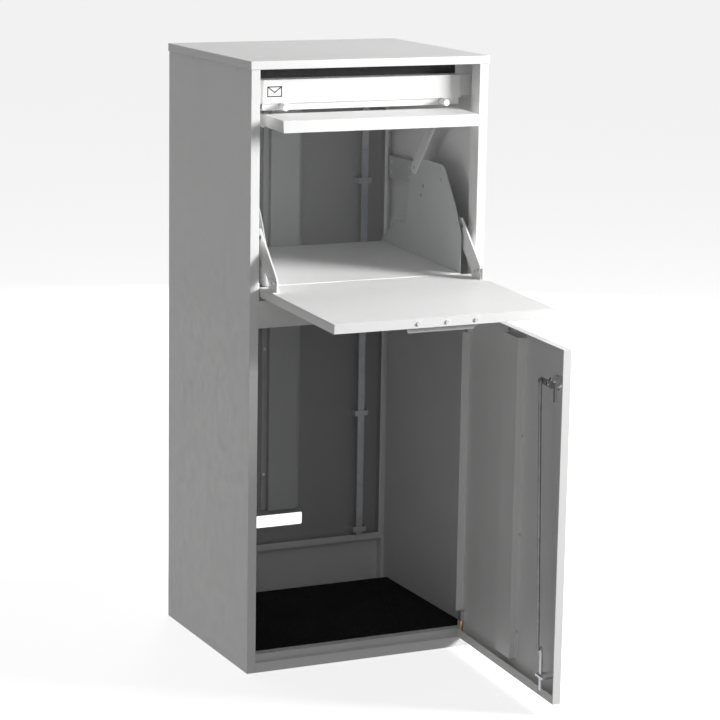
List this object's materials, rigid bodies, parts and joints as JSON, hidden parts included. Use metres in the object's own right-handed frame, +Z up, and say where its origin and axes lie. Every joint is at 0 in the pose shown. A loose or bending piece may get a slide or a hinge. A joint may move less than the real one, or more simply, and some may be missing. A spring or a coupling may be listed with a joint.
{
  "type": "parcel drop box",
  "caption": "Free-standing sheet-steel parcel and letter box with a drop-down parcel door driving a tipping tray, and locked front and rear retrieval doors.",
  "frame": {"origin": "on the ground under the middle of the cabinet", "axes": "+X to the right seen from the front, +Y to the rear, +Z up; the drop door and lower door are at the -Y side"},
  "size_m": [0.4432, 0.766, 1.05],
  "materials": {
    "white_powder_coat": "fine satin powder coat",
    "zinc_plate": "dull zinc plate",
    "lock_chrome": "polished",
    "brass_pin": "turned, bare",
    "black_rubber": "matt, fine grained"
  },
  "bodies": {
    "cabinet": {"left_side_panel": "white_powder_coat", "right_side_panel": "white_powder_coat", "lid": "white_powder_coat", "base_pan": "zinc_plate", "floor_panel": "zinc_plate", "floor_mat": "black_rubber", "front_sill": "white_powder_coat", "mid_rail": "white_powder_coat", "rear_sill": "white_powder_coat", "rear_header": "white_powder_coat", "front_door_stops": "white_powder_coat", "rear_door_stops": "white_powder_coat", "wall_ribs": "white_powder_coat", "panel_brackets": "white_powder_coat", "letter_panel": "white_powder_coat", "slot_curtain": "black_rubber", "buffer_rail": "white_powder_coat", "rail_buffers": "black_rubber", "pivot_brackets": "white_powder_coat", "hinge_rod": "zinc_plate", "front_door_pins": "brass_pin", "rear_door_pins": "brass_pin"},
    "drop_door": {"drop_door_pan": "white_powder_coat", "drop_door_liner": "white_powder_coat", "drop_door_barrels": "white_powder_coat", "drop_handle": "white_powder_coat", "drop_screws": "zinc_plate", "left_stay": "white_powder_coat", "right_stay": "white_powder_coat", "stay_tabs": "white_powder_coat", "stay_rivets": "zinc_plate"},
    "tray": {"tray_floor": "white_powder_coat", "tray_barrels": "white_powder_coat", "left_tray_wing": "white_powder_coat", "right_tray_wing": "white_powder_coat", "hood_arms": "white_powder_coat", "hood": "white_powder_coat", "tray_rivets": "zinc_plate", "drive_pins": "zinc_plate"},
    "front_door": {"front_door_panel": "white_powder_coat", "front_door_knuckles": "zinc_plate", "front_door_stiffener": "white_powder_coat", "front_door_rivets": "zinc_plate", "front_lock_barrel": "lock_chrome", "front_lock_nut": "zinc_plate", "front_bolt_guide": "zinc_plate"},
    "front_latch": {"front_lock_plug": "lock_chrome", "front_lock_lever": "zinc_plate"},
    "front_bolt_rod": {"front_rod": "zinc_plate", "front_bolt": "zinc_plate"},
    "rear_door": {"rear_door_panel": "white_powder_coat", "rear_door_stiffener": "white_powder_coat", "rear_door_rivets": "zinc_plate", "rear_lock_barrel": "lock_chrome", "rear_lock_nut": "zinc_plate", "rear_rod_guides": "zinc_plate"},
    "rear_latch": {"rear_lock_cam": "zinc_plate", "rear_lock_plug": "lock_chrome"},
    "rear_upper_bar": {"rear_upper_rod": "zinc_plate"},
    "rear_lower_bar": {"rear_lower_rod": "zinc_plate"}
  },
  "joints": [
    {"name": "drop_door_hinge", "type": "hinge", "parent": "cabinet", "child": "drop_door", "pos_m": [0, -0.175, 0.6665], "axis": [-1, 0, 0], "range_deg": [0, 92]},
    {"name": "tray_hinge", "type": "hinge", "parent": "cabinet", "child": "tray", "pos_m": [0, -0.175, 0.6665], "axis": [-1, 0, 0], "range_deg": [0, 60]},
    {"name": "front_door_hinge", "type": "hinge", "parent": "cabinet", "child": "front_door", "pos_m": [0.1969, -0.1808, 0.316], "axis": [0, 0, 1], "range_deg": [-86, 19]},
    {"name": "front_lock_turn", "type": "hinge", "parent": "front_door", "child": "front_latch", "pos_m": [0.15593, -0.54022, 0.553], "axis": [-0.9976, 0.0698, 0], "range_deg": [0, 28.65]},
    {"name": "front_bolt_slide", "type": "slide", "parent": "front_door", "child": "front_bolt_rod", "axis": [0, 0, -1], "range_m": [0, 0.012]},
    {"name": "rear_door_hinge", "type": "hinge", "parent": "cabinet", "child": "rear_door", "pos_m": [-0.1969, 0.1808, 0.549], "axis": [0, 0, 1], "range_deg": [0, 105]},
    {"name": "rear_lock_turn", "type": "hinge", "parent": "rear_door", "child": "rear_latch", "pos_m": [0.156, 0.1595, 0.6], "axis": [0, -1, 0], "range_deg": [0, 32.75]},
    {"name": "rear_upper_slide", "type": "slide", "parent": "rear_door", "child": "rear_upper_bar", "axis": [0, 0, 1], "range_m": [0, 0.00905]},
    {"name": "rear_lower_slide", "type": "slide", "parent": "rear_door", "child": "rear_lower_bar", "axis": [0, 0, -1], "range_m": [0, 0.009]}
  ],
  "couplings": [
    {"joint": "tray_hinge", "follows": "drop_door_hinge", "ratio": 0.652},
    {"joint": "front_lock_turn", "follows": "front_bolt_slide", "rad_per_m": 41.6},
    {"joint": "rear_lock_turn", "follows": "rear_lower_slide", "rad_per_m": 63.4},
    {"joint": "rear_upper_slide", "follows": "rear_lower_slide", "ratio": 1}
  ]
}
